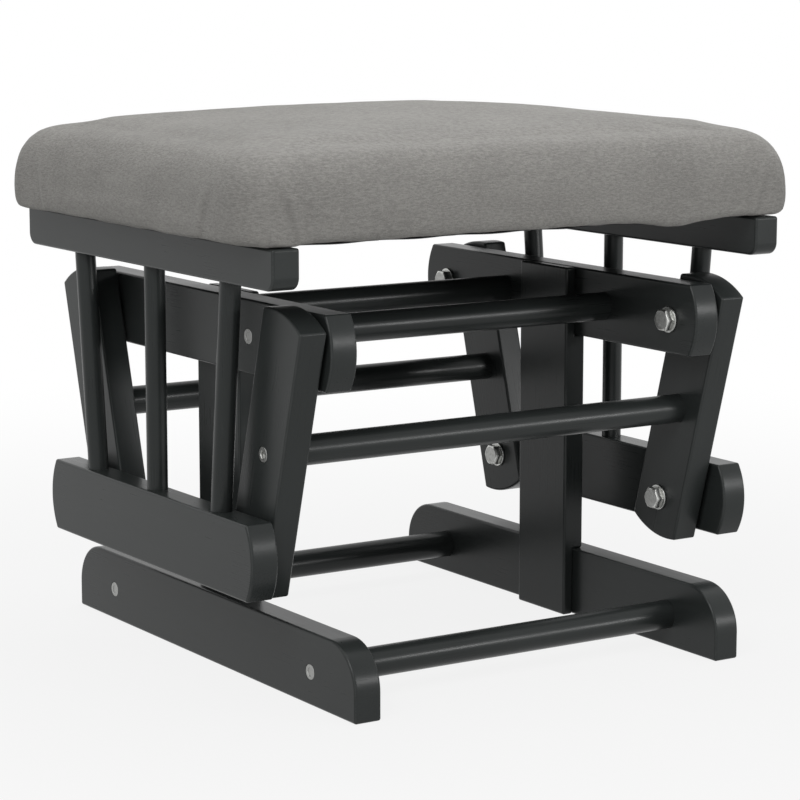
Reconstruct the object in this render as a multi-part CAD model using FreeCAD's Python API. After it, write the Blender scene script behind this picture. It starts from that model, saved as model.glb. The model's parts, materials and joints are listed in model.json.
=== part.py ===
import FreeCAD, Part
import math
import os

# Glider ottoman. A standing base of two floor rails, two posts and two glide rails carries
# four hanging links, and the links carry the padded seat, which glides to and fro.
# X is the width, -Y is the front, +Z is up. The origin is on the floor, in the middle.
# All sizes are in millimetres. Pieces are drawn on the +X side and mirrored to the other.

# Timber stock
stock_thickness = 22.2
edge_round = 2.0
dowel_diameter = 22.8
dowel_socket_depth = 8.0
spindle_diameter = 16.0
spindle_socket_depth = 12.0
rail_end_bow = 8.5
link_end_bow = 5.8
fit_gap = 0.1

# Floor rails
base_length = 440.0
base_height = 55.5
base_nose_radius = 34.8
base_dowel_y = 157.0
base_dowel_z = 25.2

# Posts, stepped at both ends: they lap the inner faces of the rails and bear on their edges
post_thickness = 19.0
post_step = 9.5
post_width = 65.4
post_pin_diameter = 8.0
post_pin_in_post = 7.0
post_pin_in_rail = 13.0
post_pin_spacing = 36.0

# Glide rails, on top of the posts
glide_length = 361.2
glide_height = 56.0
glide_bottom = 234.5
glide_dowel_y = 69.7

# Pivots of the four links
upper_pivot_y = 155.8
upper_pivot_z = 261.2
lower_pivot_y = 113.8
lower_pivot_z = 110.2
upper_gap = 3.2
lower_gap = 4.2

# Hanging links
link_width = 55.0
link_end_reach = 26.0

# Side rails that hang on the links, and the rails under the cushion
side_length = 311.0
side_height = 57.0
side_bottom = 83.0
cushion_rail_setback = 1.0
cushion_rail_height = 30.0
cushion_rail_bottom = 311.5
cushion_rail_corner = 9.5
spindle_top_y = 117.0
spindle_bottom_y = 100.0

# Hex bolts, washers and the bearings that they hold
bolt_diameter = 10.0
bolt_across_flats = 16.0
bolt_head_height = 6.4
bolt_in_hub = 10.0
bolt_clearance = 0.2
washer_diameter = 20.5
washer_thickness = 2.0
hub_diameter = 13.6
hub_collar_diameter = 17.0
hub_depth = 10.8
hub_face_gap = 0.4
ball_diameter = 4.4
ball_count = 9
ball_gap = 0.1
shell_wall = 1.6
shell_depth = 13.0
open_pivot_gap = 2.8

# Connector screws with a hexagon socket, through a rail or link into the end of a dowel
screw_head_diameter = 12.0
screw_head_height = 2.6
screw_diameter = 6.0
screw_length = 45.0
screw_socket_flats = 6.0
screw_socket_depth = 2.0

# Seat board, padding and cover
cushion_width = 497.0
cushion_depth = 395.0
cushion_overhang = 21.0
cushion_corner = 27.0
cushion_widest = 16.5
cushion_shoulder_rise = 52.0
cushion_shoulder_inset = 36.0
cushion_crown = 16.0
crown_roundness = 0.9
cushion_tuck = 4.7
cushion_draw = 2.5
cover_thickness = 1.2
soft_gap = 0.3
board_thickness = 12.0
hem_width = 26.0
lining_thickness = 0.6
lining_margin = 14.0
crown_cap_share = 0.04

# Screws up through the cushion rails into the board
seat_screw_y = 150.0
seat_screw_diameter = 4.5
seat_screw_head = 9.0
seat_screw_head_height = 2.5
seat_screw_recess = 12.0
seat_screw_in_board = 9.0

# Staples along the edge of the lining
staple_crown = 10.0
staple_wire = 0.9
staple_leg = 6.0
staple_margin = 6.0
staple_rail_gap = 1.0
width_staple_count = 7
depth_staple_count = 5

# Places that follow from the sizes above: the frame is laid out inwards from the cushion's sides
side_outer_x = cushion_width / 2 - cushion_overhang
side_inner_x = side_outer_x - stock_thickness
link_outer_x = side_inner_x - lower_gap
link_inner_x = link_outer_x - stock_thickness
rail_outer_x = link_inner_x - upper_gap
rail_inner_x = rail_outer_x - stock_thickness
post_outer_x = rail_inner_x + post_step
post_inner_x = post_outer_x - post_thickness
glide_top = glide_bottom + glide_height
spindle_x = (side_inner_x + side_outer_x) / 2
side_top = side_bottom + side_height
cushion_rail_top = cushion_rail_bottom + cushion_rail_height
cushion_rail_length = cushion_depth - 2 * cushion_rail_setback
glide_dowel_z = glide_bottom + glide_height / 2
link_middle_y = (upper_pivot_y + lower_pivot_y) / 2
link_middle_z = (upper_pivot_z + lower_pivot_z) / 2
lining_bottom = cushion_rail_top + soft_gap
cover_bottom = lining_bottom + lining_thickness + soft_gap
board_bottom = cover_bottom + cover_thickness + soft_gap
board_top = board_bottom + board_thickness
board_half_x = cushion_width / 2 - cushion_tuck - cover_thickness - soft_gap
board_half_y = cushion_depth / 2 - cushion_tuck - cover_thickness - soft_gap
lining_half_x = cushion_width / 2 - lining_margin
lining_half_y = cushion_depth / 2 - lining_margin
hub_radius = hub_diameter / 2
ball_radius = ball_diameter / 2
overcut = 1.0


def point(x, y, z):
    return FreeCAD.Vector(x, y, z)


def line(a, b):
    return Part.makeLine(a, b)


def arc(a, b, c):
    return Part.Arc(a, b, c).toShape()


def cylinder_x(radius, x0, x1, y, z):
    """A round bar along X."""
    return Part.makeCylinder(radius, x1 - x0, point(x0, y, z), point(1, 0, 0))


def cylinder_z(radius, z0, z1, x, y):
    """A round bar along Z."""
    return Part.makeCylinder(radius, z1 - z0, point(x, y, z0), point(0, 0, 1))


def tube_x(outer, inner, x0, x1, y, z):
    """A round tube along X."""
    bore = cylinder_x(inner, x0 - overcut, x1 + overcut, y, z)
    return cylinder_x(outer, x0, x1, y, z).cut(bore)


def block(x0, x1, y0, y1, z0, z1):
    return Part.makeBox(x1 - x0, y1 - y0, z1 - z0, point(x0, y0, z0))


def hexagon_x(across_flats, x0, x1, y, z):
    """A hexagonal bar along X with flats above and below."""
    reach = across_flats / math.sqrt(3)
    corners = []
    for k in range(6):
        turn = math.radians(60 * k)
        corners.append(point(x0, y + reach * math.cos(turn), z + reach * math.sin(turn)))
    wire = Part.makePolygon(corners + corners[:1])
    return Part.Face(wire).extrude(point(x1 - x0, 0, 0))


def board_from(edges, thickness):
    """A board cut to an outline in the YZ plane, with all its edges rounded."""
    solid = Part.Face(Part.Wire(edges)).extrude(point(thickness, 0, 0))
    return solid.makeFillet(edge_round, solid.Edges)


def mirror_x(shape):
    return shape.mirror(point(0, 0, 0), point(1, 0, 0))


def mirror_y(shape):
    return shape.mirror(point(0, 0, 0), point(0, 1, 0))


def on_both_sides(shape):
    return [shape, mirror_x(shape)]


def cut_all(shape, tools):
    return shape.cut(Part.makeCompound(tools))


def save(name, shapes):
    """Write one node. A list of solids becomes one group of separate solids."""
    shape = Part.makeCompound(shapes) if isinstance(shapes, list) else shapes
    if not shape.isValid():
        raise ValueError(name + " is not a sound solid")
    shape.exportStep("parts/" + name + ".step")


# Timber outlines


def base_outline(x):
    """Long floor rail: square at the floor, with a round nose at each end of its top."""
    half = base_length / 2
    top = base_height
    nose_y = half - base_nose_radius
    nose_z = top - base_nose_radius
    mid_y = nose_y + base_nose_radius * math.cos(math.pi / 4)
    mid_z = nose_z + base_nose_radius * math.sin(math.pi / 4)
    return [
        line(point(x, -half, 0), point(x, half, 0)),
        line(point(x, half, 0), point(x, half, nose_z)),
        arc(point(x, half, nose_z), point(x, mid_y, mid_z), point(x, nose_y, top)),
        line(point(x, nose_y, top), point(x, -nose_y, top)),
        arc(point(x, -nose_y, top), point(x, -mid_y, mid_z), point(x, -half, nose_z)),
        line(point(x, -half, nose_z), point(x, -half, 0)),
    ]


def bowed_outline(x, length, bottom, height):
    """Rail whose two ends bow outwards between square corners."""
    half = length / 2
    tip = half + rail_end_bow
    top = bottom + height
    middle = bottom + height / 2
    return [
        line(point(x, -half, bottom), point(x, half, bottom)),
        arc(point(x, half, bottom), point(x, tip, middle), point(x, half, top)),
        line(point(x, half, top), point(x, -half, top)),
        arc(point(x, -half, top), point(x, -tip, middle), point(x, -half, bottom)),
    ]


def cushion_rail_outline(x):
    """Rail under the cushion: square ends with the lower corner rounded off."""
    half = cushion_rail_length / 2
    low_half = half - cushion_rail_corner
    mid_half = low_half + cushion_rail_corner * math.sin(math.pi / 4)
    low = cushion_rail_bottom
    mid_z = low + cushion_rail_corner * (1 - math.cos(math.pi / 4))
    end_z = low + cushion_rail_corner
    top = cushion_rail_top
    return [
        line(point(x, -low_half, low), point(x, low_half, low)),
        arc(point(x, low_half, low), point(x, mid_half, mid_z), point(x, half, end_z)),
        line(point(x, half, end_z), point(x, half, top)),
        line(point(x, half, top), point(x, -half, top)),
        line(point(x, -half, top), point(x, -half, end_z)),
        arc(point(x, -half, end_z), point(x, -mid_half, mid_z), point(x, -low_half, low)),
    ]


def link_outline(x):
    """Rear link: a plank along the line of its two pivots, with bowed ends."""
    run_y = upper_pivot_y - lower_pivot_y
    run_z = upper_pivot_z - lower_pivot_z
    spacing = math.hypot(run_y, run_z)
    along_y, along_z = run_y / spacing, run_z / spacing
    half_length = spacing / 2 + link_end_reach
    half_width = link_width / 2

    def at(along, across):
        y = link_middle_y + along * along_y + across * along_z
        z = link_middle_z + along * along_z - across * along_y
        return point(x, y, z)

    tip = half_length + link_end_bow
    return [
        line(at(-half_length, half_width), at(half_length, half_width)),
        arc(at(half_length, half_width), at(tip, 0), at(half_length, -half_width)),
        line(at(half_length, -half_width), at(-half_length, -half_width)),
        arc(at(-half_length, -half_width), at(-tip, 0), at(-half_length, half_width)),
    ]


# Holes


def dowel_socket(inner_x, y, z):
    radius = dowel_diameter / 2 + fit_gap
    return cylinder_x(radius, inner_x - overcut, inner_x + dowel_socket_depth, y, z)


def screw_hole(inner_x, outer_x, y, z):
    """Hole for a connector screw, with a recess that hides its head in the outer face."""
    shank = cylinder_x(screw_diameter / 2 + fit_gap, inner_x - overcut, outer_x + overcut, y, z)
    recess_x = outer_x - screw_head_height
    recess = cylinder_x(screw_head_diameter / 2 + fit_gap, recess_x, outer_x + overcut, y, z)
    return shank.fuse(recess)


def dowel_fixing(inner_x, outer_x, y, z):
    """The socket and screw hole that hold one end of a dowel."""
    return [dowel_socket(inner_x, y, z), screw_hole(inner_x, outer_x, y, z)]


def pin_places():
    """Middle of each hidden pin between a post and its two rails."""
    places = []
    for z in (base_height / 2, glide_bottom + glide_height / 2):
        for y in (-post_pin_spacing / 2, post_pin_spacing / 2):
            places.append((y, z))
    return places


def pin_holes():
    x0 = rail_inner_x - post_pin_in_post - fit_gap
    x1 = rail_inner_x + post_pin_in_rail + fit_gap
    radius = post_pin_diameter / 2 + fit_gap
    return [cylinder_x(radius, x0, x1, y, z) for y, z in pin_places()]


def bolt_hole(inner_x, outer_x, y, z):
    radius = bolt_diameter / 2 + bolt_clearance
    return cylinder_x(radius, inner_x - overcut, outer_x + overcut, y, z)


def shell_radius(extra):
    """Outer radius of a bearing shell, with extra room round its hub."""
    return hub_radius + 2 * ball_gap + ball_diameter + extra + shell_wall


def shell_pocket(face_x, y, z, extra):
    radius = shell_radius(extra) + fit_gap
    return cylinder_x(radius, face_x - overcut, face_x + shell_depth + fit_gap, y, z)


def spindle_ends():
    """Bottom and top of each spindle axis where it leaves the rails, from front to rear."""
    ends = []
    for side in (-1, 0, 1):
        low = point(spindle_x, side * spindle_bottom_y, side_top)
        high = point(spindle_x, side * spindle_top_y, cushion_rail_bottom)
        ends.append((low, high))
    return ends


def spindle_bar(low, high, radius, sink):
    """A round bar between two points that sinks into the rail at each end."""
    run = high.sub(low)
    length = run.Length
    unit = run.multiply(1 / length)
    start = low.sub(FreeCAD.Vector(unit).multiply(sink))
    return Part.makeCylinder(radius, length + 2 * sink, start, unit)


# Base


def is_along_y(edge, corner):
    """Whether an edge runs along Y through a corner."""
    return all(math.hypot(v.X - corner.x, v.Z - corner.z) < fit_gap for v in edge.Vertexes)


def base_rail():
    rail = board_from(base_outline(rail_inner_x), stock_thickness)
    holes = pin_holes()
    for y in (-base_dowel_y, base_dowel_y):
        holes += dowel_fixing(rail_inner_x, rail_outer_x, y, base_dowel_z)
    return cut_all(rail, holes)


def glide_rail():
    outline = bowed_outline(rail_inner_x, glide_length, glide_bottom, glide_height)
    holes = pin_holes()
    for side in (-1, 1):
        holes += dowel_fixing(rail_inner_x, rail_outer_x, side * glide_dowel_y, glide_dowel_z)
        holes.append(bolt_hole(rail_inner_x, rail_outer_x, side * upper_pivot_y, upper_pivot_z))
    return cut_all(board_from(outline, stock_thickness), holes)


def post():
    """Post with a step at each end, where it laps a rail. Its inward corners stay sharp."""
    y = -post_width / 2
    corners = [
        point(post_inner_x, y, 0), point(rail_inner_x, y, 0),
        point(rail_inner_x, y, base_height), point(post_outer_x, y, base_height),
        point(post_outer_x, y, glide_bottom), point(rail_inner_x, y, glide_bottom),
        point(rail_inner_x, y, glide_top), point(post_inner_x, y, glide_top),
    ]
    body = Part.Face(Part.makePolygon(corners + corners[:1])).extrude(point(0, post_width, 0))
    inward = [corners[2], corners[5]]
    rounded = [e for e in body.Edges if not any(is_along_y(e, corner) for corner in inward)]
    return cut_all(body.makeFillet(edge_round, rounded), pin_holes())


def post_pins():
    x0 = rail_inner_x - post_pin_in_post
    x1 = rail_inner_x + post_pin_in_rail
    pins = []
    for y, z in pin_places():
        pins += on_both_sides(cylinder_x(post_pin_diameter / 2, x0, x1, y, z))
    return pins


def cross_dowel(face_x, y, z):
    """A dowel from one side to the other, seated in both, with a screw hole in each end."""
    end = face_x + dowel_socket_depth
    hole_depth = end - (face_x + stock_thickness - screw_head_height - screw_length)
    bar = cylinder_x(dowel_diameter / 2, -end, end, y, z)
    hole = cylinder_x(screw_diameter / 2 + fit_gap, end - hole_depth - fit_gap, end + overcut, y, z)
    return cut_all(bar, on_both_sides(hole))


def connector_screw(outer_x, y, z):
    head_x = outer_x - screw_head_height
    head = cylinder_x(screw_head_diameter / 2, head_x, outer_x, y, z)
    shank = cylinder_x(screw_diameter / 2, head_x - screw_length, head_x, y, z)
    socket = hexagon_x(screw_socket_flats, outer_x - screw_socket_depth, outer_x + overcut, y, z)
    return head.fuse(shank).cut(socket)


# Pivot hardware


def pivot_washer(face_x, y, z):
    inner = bolt_diameter / 2 + bolt_clearance
    return tube_x(washer_diameter / 2, inner, face_x - washer_thickness, face_x, y, z)


def pivot_bolt(inner_x, outer_x, y, z):
    """Hex bolt through a washer and a board into the hub on the board's far side."""
    seat_x = inner_x - washer_thickness
    head_x = seat_x - bolt_head_height
    head = hexagon_x(bolt_across_flats, head_x, seat_x, y, z)
    corner = bolt_across_flats / math.sqrt(3)
    bevel = Part.makeCone(
        bolt_across_flats / 2 - fit_gap, corner + bolt_head_height, bolt_head_height,
        point(head_x, y, z), point(1, 0, 0)
    )
    shank = cylinder_x(bolt_diameter / 2, seat_x, outer_x + bolt_in_hub, y, z)
    return head.common(bevel).fuse(shank)


def bearing_hub(face_x, gap, y, z):
    """Threaded hub: a collar that fills the gap between two boards, and the inner race."""
    collar_end = face_x + gap - hub_face_gap
    race_end = face_x + gap + hub_depth
    collar = cylinder_x(hub_collar_diameter / 2, face_x, collar_end, y, z)
    race = cylinder_x(hub_radius, face_x, race_end, y, z)
    thread = cylinder_x(bolt_diameter / 2 + fit_gap, face_x - overcut, face_x + bolt_in_hub + fit_gap, y, z)
    return collar.fuse(race).cut(thread)


def bearing_shell(face_x, y, z, extra):
    """Pressed cup that is the outer race. Its closed end lies deep in the board."""
    outer = shell_radius(extra)
    cup = cylinder_x(outer, face_x, face_x + shell_depth, y, z)
    floor_x = face_x + shell_depth - shell_wall
    return cup.cut(cylinder_x(outer - shell_wall, face_x - overcut, floor_x, y, z))


def bearing_balls(face_x, y, z, extra):
    pitch = hub_radius + ball_gap + ball_radius + extra
    middle_x = face_x + (shell_depth - shell_wall) / 2
    balls = []
    for k in range(ball_count):
        turn = 2 * math.pi * k / ball_count
        centre = point(middle_x, y + pitch * math.cos(turn), z + pitch * math.sin(turn))
        balls.append(Part.makeSphere(ball_radius, centre))
    return balls


# Links


def rear_link():
    """Link on the rear right: the upper bearing is let into it, the lower bolt goes through."""
    holes = [
        shell_pocket(link_inner_x, upper_pivot_y, upper_pivot_z, 0),
        bolt_hole(link_inner_x, link_outer_x, lower_pivot_y, lower_pivot_z),
    ]
    holes += dowel_fixing(link_inner_x, link_outer_x, link_middle_y, link_middle_z)
    return cut_all(board_from(link_outline(link_inner_x), stock_thickness), holes)


def save_links(end, turn):
    """All the pieces of one pair of links. turn puts a rear piece at this end."""
    link = turn(rear_link())
    dowel = cross_dowel(link_inner_x, link_middle_y, link_middle_z)
    screw = connector_screw(link_outer_x, link_middle_y, link_middle_z)
    shell = bearing_shell(link_inner_x, upper_pivot_y, upper_pivot_z, 0)
    balls = Part.makeCompound(bearing_balls(link_inner_x, upper_pivot_y, upper_pivot_z, 0))
    bolt = pivot_bolt(link_inner_x, link_outer_x, lower_pivot_y, lower_pivot_z)
    washer = pivot_washer(link_inner_x, lower_pivot_y, lower_pivot_z)
    hub = bearing_hub(link_outer_x, lower_gap, lower_pivot_y, lower_pivot_z)
    save(end + "_link_right", link)
    save(end + "_link_left", mirror_x(link))
    save(end + "_link_dowel", turn(dowel))
    save(end + "_link_screws", on_both_sides(turn(screw)))
    save(end + "_upper_bearing_shells", on_both_sides(turn(shell)))
    save(end + "_upper_bearing_balls", on_both_sides(turn(balls)))
    save(end + "_lower_bolts", on_both_sides(turn(bolt)))
    save(end + "_lower_washers", on_both_sides(turn(washer)))
    save(end + "_lower_bearing_hubs", on_both_sides(turn(hub)))


# Seat frame


def side_rail():
    """Lower rail of the seat: bearings are let into its inner face, spindles into its top."""
    outline = bowed_outline(side_inner_x, side_length, side_bottom, side_height)
    holes = [
        shell_pocket(side_inner_x, -lower_pivot_y, lower_pivot_z, 0),
        shell_pocket(side_inner_x, lower_pivot_y, lower_pivot_z, open_pivot_gap),
    ]
    for low, high in spindle_ends():
        sink = spindle_socket_depth + fit_gap
        holes.append(spindle_bar(low, high, spindle_diameter / 2 + fit_gap, sink))
    return cut_all(board_from(outline, stock_thickness), holes)


def seat_screw_places():
    return [-seat_screw_y, seat_screw_y]


def cushion_rail():
    """Rail under the cushion: spindles enter from below, and screws go up to the board."""
    outline = cushion_rail_outline(side_inner_x)
    holes = []
    for low, high in spindle_ends():
        sink = spindle_socket_depth + fit_gap
        holes.append(spindle_bar(low, high, spindle_diameter / 2 + fit_gap, sink))
    recess_top = cushion_rail_bottom + seat_screw_recess
    for y in seat_screw_places():
        below = cushion_rail_bottom - overcut
        above = cushion_rail_top + overcut
        holes.append(cylinder_z(seat_screw_head / 2 + fit_gap, below, recess_top, spindle_x, y))
        holes.append(cylinder_z(seat_screw_diameter / 2 + fit_gap, below, above, spindle_x, y))
    return cut_all(board_from(outline, stock_thickness), holes)


def spindle(low, high):
    return spindle_bar(low, high, spindle_diameter / 2, spindle_socket_depth)


def seat_screws():
    screws = []
    head_top = cushion_rail_bottom + seat_screw_recess
    tip = board_bottom + seat_screw_in_board
    for y in seat_screw_places():
        head_bottom = head_top - seat_screw_head_height
        head = cylinder_z(seat_screw_head / 2, head_bottom, head_top, spindle_x, y)
        shank = cylinder_z(seat_screw_diameter / 2, head_top, tip, spindle_x, y)
        screws += on_both_sides(head.fuse(shank))
    return screws


def seat_screw_holes(top):
    """Holes for the seat screws up to a given height, on both sides."""
    holes = []
    for y in seat_screw_places():
        radius = seat_screw_diameter / 2 + fit_gap
        holes += on_both_sides(cylinder_z(radius, cushion_rail_top, top, spindle_x, y))
    return holes


# Padding and cover


def pulled_rectangle(half_x, half_y, corner, draw, z):
    """A rectangle with round corners whose sides are drawn in at their middles."""
    diagonal = corner * (1 - math.cos(math.pi / 4))
    edges = []
    for turn in range(4):
        along, out = (half_y, half_x) if turn % 2 == 0 else (half_x, half_y)
        side = math.pi / 2 * turn

        def at(a, b):
            x = a * math.cos(side) - b * math.sin(side)
            y = a * math.sin(side) + b * math.cos(side)
            return point(x, y, z)

        start = at(out, corner - along)
        end = at(out, along - corner)
        edges.append(arc(start, at(out - draw, 0), end))
        edges.append(arc(end, at(out - diagonal, along - diagonal), at(out - corner, along)))
    return Part.Wire(edges)


def cushion_form(inset):
    """The padded form, shrunk by an inset: a tucked edge and full sides, and a crowned top."""
    half_x = cushion_width / 2 - inset
    half_y = cushion_depth / 2 - inset
    bottom = cover_bottom + inset
    widest = cover_bottom + cushion_widest
    shoulder = widest + cushion_shoulder_rise - inset
    sections = []
    for degrees in (-90, -45, 0, 21, 42, 63, 84):
        turn = math.radians(degrees)
        out = 1 - math.cos(turn)
        if degrees < 0:
            pull = cushion_tuck * out
            z = widest + (widest - bottom) * math.sin(turn)
        else:
            pull = cushion_shoulder_inset * out
            z = widest + (shoulder - widest) * math.sin(turn)
        draw = cushion_draw * math.cos(turn) + fit_gap
        sections.append(pulled_rectangle(half_x - pull, half_y - pull, cushion_corner, draw, z))
    sides = Part.makeLoft(sections, True, False)
    return sides.fuse(crown_form(half_x - pull, half_y - pull, draw, z))


def crown_form(half_x, half_y, edge_draw, bottom):
    """The crown: its level lines turn from the cushion's outline to an oval at its middle."""
    edge_share = cushion_corner / half_y
    sections = []
    for share in (1.0, 0.8, 0.6, 0.4, 0.2, crown_cap_share):
        rise = 1 - share ** 2
        corner = half_y * share * (edge_share + (crown_roundness - edge_share) * rise)
        z = bottom + cushion_crown * rise
        draw = edge_draw * share
        sections.append(pulled_rectangle(half_x * share, half_y * share, corner, draw, z))
    return Part.makeLoft(sections, True, False)


def seat_cover():
    """Fabric pulled over the padding and turned under the board as a hem."""
    inside = cushion_form(cover_thickness)
    opening_x = cushion_width / 2 - hem_width
    opening_y = cushion_depth / 2 - hem_width
    opening = block(-opening_x, opening_x, -opening_y, opening_y, cover_bottom - overcut, board_bottom)
    fabric = cushion_form(0).cut(inside).cut(opening)
    return cut_all(fabric, staple_slots() + seat_screw_holes(board_bottom))


def seat_foam():
    reach = cushion_width
    above = block(-reach, reach, -reach, reach, board_top, board_top + reach)
    return cushion_form(cover_thickness + soft_gap).common(above)


def rounded_sheet(half_x, half_y, z0, z1):
    """A flat sheet with the corners of the cushion."""
    sheet = block(-half_x, half_x, -half_y, half_y, z0, z1)
    upright = [e for e in sheet.Edges if abs(e.Vertexes[0].Z - e.Vertexes[-1].Z) > fit_gap]
    return sheet.makeFillet(cushion_corner, upright)


def seat_board():
    board = rounded_sheet(board_half_x, board_half_y, board_bottom, board_top)
    top = board_bottom + seat_screw_in_board + fit_gap
    return cut_all(board, seat_screw_holes(top) + staple_slots())


def underside_lining():
    top = lining_bottom + lining_thickness
    sheet = rounded_sheet(lining_half_x, lining_half_y, lining_bottom, top)
    return cut_all(sheet, seat_screw_holes(top + overcut) + staple_slots())


def staple_places():
    """Middle and direction of each staple: rows between the cushion rails and just outside them."""
    row_half = side_inner_x - staple_rail_gap - staple_crown / 2
    line_x = side_outer_x + staple_rail_gap + staple_wire / 2
    line_y = lining_half_y - staple_margin
    places = []
    for k in range(width_staple_count):
        x = row_half * (2 * k / (width_staple_count - 1) - 1)
        places += [(x, -line_y, True), (x, line_y, True)]
    for k in range(depth_staple_count):
        y = line_y * (2 * (k + 0.5) / depth_staple_count - 1)
        places += [(-line_x, y, False), (line_x, y, False)]
    return places


def staple_box(x, y, along_x, start, end, low, high, grow):
    """A straight piece of staple wire, from start to end along the staple."""
    half = staple_wire / 2 + grow
    if along_x:
        return block(x + start - grow, x + end + grow, y - half, y + half, low, high)
    return block(x - half, x + half, y + start - grow, y + end + grow, low, high)


def staple_legs(grow):
    half = staple_crown / 2
    low = lining_bottom - grow
    high = lining_bottom + staple_leg + grow
    legs = []
    for x, y, along_x in staple_places():
        for start in (-half, half - staple_wire):
            legs.append(staple_box(x, y, along_x, start, start + staple_wire, low, high, grow))
    return legs


def staple_slots():
    return staple_legs(fit_gap)


def lining_staples():
    half = staple_crown / 2
    legs = staple_legs(0)
    staples = []
    for k, (x, y, along_x) in enumerate(staple_places()):
        low = lining_bottom - staple_wire
        crown = staple_box(x, y, along_x, -half, half, low, lining_bottom, 0)
        staples.append(crown.fuse(legs[2 * k]).fuse(legs[2 * k + 1]).removeSplitter())
    return staples


# All nodes


def save_base():
    rail = base_rail()
    glide = glide_rail()
    upright = post()
    save("base_rail_right", rail)
    save("base_rail_left", mirror_x(rail))
    save("glide_rail_right", glide)
    save("glide_rail_left", mirror_x(glide))
    save("post_right", upright)
    save("post_left", mirror_x(upright))
    save("post_pins", post_pins())
    rows = (("base", base_dowel_y, base_dowel_z), ("glide", glide_dowel_y, glide_dowel_z))
    for name, y, z in rows:
        dowel = cross_dowel(rail_inner_x, y, z)
        screws = on_both_sides(connector_screw(rail_outer_x, y, z))
        save(name + "_dowel_rear", dowel)
        save(name + "_dowel_front", mirror_y(dowel))
        save(name + "_screws", screws + [mirror_y(s) for s in screws])


def save_upper_pivots():
    bolts = on_both_sides(pivot_bolt(rail_inner_x, rail_outer_x, upper_pivot_y, upper_pivot_z))
    washers = on_both_sides(pivot_washer(rail_inner_x, upper_pivot_y, upper_pivot_z))
    hubs = on_both_sides(bearing_hub(rail_outer_x, upper_gap, upper_pivot_y, upper_pivot_z))
    save("upper_pivot_bolts", bolts + [mirror_y(s) for s in bolts])
    save("upper_pivot_washers", washers + [mirror_y(s) for s in washers])
    save("upper_bearing_hubs", hubs + [mirror_y(s) for s in hubs])


def save_lower_bearings():
    """Bearings in the side rails. The rear pair leaves room for the slip of its pivot."""
    for end, side, extra in (("front", -1, 0), ("rear", 1, open_pivot_gap)):
        y = side * lower_pivot_y
        shell = bearing_shell(side_inner_x, y, lower_pivot_z, extra)
        balls = Part.makeCompound(bearing_balls(side_inner_x, y, lower_pivot_z, extra))
        save(end + "_lower_bearing_shells", on_both_sides(shell))
        save(end + "_lower_bearing_balls", on_both_sides(balls))


def save_seat():
    rail = side_rail()
    upper = cushion_rail()
    save("side_rail_right", rail)
    save("side_rail_left", mirror_x(rail))
    save("cushion_rail_right", upper)
    save("cushion_rail_left", mirror_x(upper))
    for place, (low, high) in zip(("front", "middle", "rear"), spindle_ends()):
        bar = spindle(low, high)
        save("spindle_right_" + place, bar)
        save("spindle_left_" + place, mirror_x(bar))
    save("seat_screws", seat_screws())
    save("seat_board", seat_board())
    save("seat_foam", seat_foam())
    save("seat_cover", seat_cover())
    save("underside_lining", underside_lining())
    save("lining_staples", lining_staples())


def main():
    os.makedirs("parts", exist_ok=True)
    save_base()
    save_upper_pivots()
    save_links("rear", lambda shape: shape)
    save_links("front", mirror_y)
    save_lower_bearings()
    save_seat()


main()
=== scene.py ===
import json
import math

import bmesh
import bpy
from bpy.props import FloatProperty, FloatVectorProperty, IntProperty, PointerProperty
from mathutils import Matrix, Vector, noise


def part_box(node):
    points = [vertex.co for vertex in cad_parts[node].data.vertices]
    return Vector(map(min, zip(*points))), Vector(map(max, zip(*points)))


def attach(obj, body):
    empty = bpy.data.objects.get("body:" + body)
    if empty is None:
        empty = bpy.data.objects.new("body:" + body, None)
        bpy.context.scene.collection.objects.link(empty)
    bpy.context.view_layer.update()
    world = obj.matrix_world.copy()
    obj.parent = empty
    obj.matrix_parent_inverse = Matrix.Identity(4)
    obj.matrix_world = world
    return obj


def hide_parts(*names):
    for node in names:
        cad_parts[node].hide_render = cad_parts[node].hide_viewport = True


# The looks of a glider ottoman: painted timber frame, padded seat, lining and fixings.
# X is the width, -Y the front, +Z up, in metres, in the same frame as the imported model.

bl_info = {
    "name": "Glider ottoman",
    "version": (1, 0, 0),
    "blender": (4, 5, 0),
    "location": "3D View > Sidebar > Ottoman",
    "description": "Dresses the packed model of a glider ottoman",
    "category": "Object",
}

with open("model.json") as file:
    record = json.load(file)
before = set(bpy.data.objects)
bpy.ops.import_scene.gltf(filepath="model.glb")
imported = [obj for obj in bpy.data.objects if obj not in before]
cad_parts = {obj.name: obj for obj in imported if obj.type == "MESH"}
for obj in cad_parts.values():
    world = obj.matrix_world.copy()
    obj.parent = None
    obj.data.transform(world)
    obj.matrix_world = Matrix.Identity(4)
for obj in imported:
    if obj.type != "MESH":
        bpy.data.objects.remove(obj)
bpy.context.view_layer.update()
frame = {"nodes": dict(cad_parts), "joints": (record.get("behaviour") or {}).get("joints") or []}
JOINTS = {joint["name"]: Vector(joint["pos_m"]) for joint in frame["joints"]}
RAIL_IN, RAIL_OUT = (corner.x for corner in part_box("glide_rail_right"))
LINK_IN, LINK_OUT = (corner.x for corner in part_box("front_link_right"))
SIDE_IN, SIDE_OUT = (corner.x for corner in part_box("side_rail_right"))
COVER_LOW, COVER_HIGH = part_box("seat_cover")
LINING_LOW, LINING_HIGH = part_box("underside_lining")
RAIL_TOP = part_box("cushion_rail_right")[1].z
PIVOTS = (JOINTS["front_swing_pivot"], JOINTS["seat_pivot"])
LINK_RUN = (PIVOTS[1] - PIVOTS[0]).normalized()
# The camera's place, the point that it looks at, and its lens in millimetres.
CAMERA_PLACE = Vector((-1.17556, -1.83518, 0.54518))
CAMERA_TARGET = Vector((-0.00967, -0.02062, 0.19327))
CAMERA_LENS = 123.79


# Settings


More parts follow.
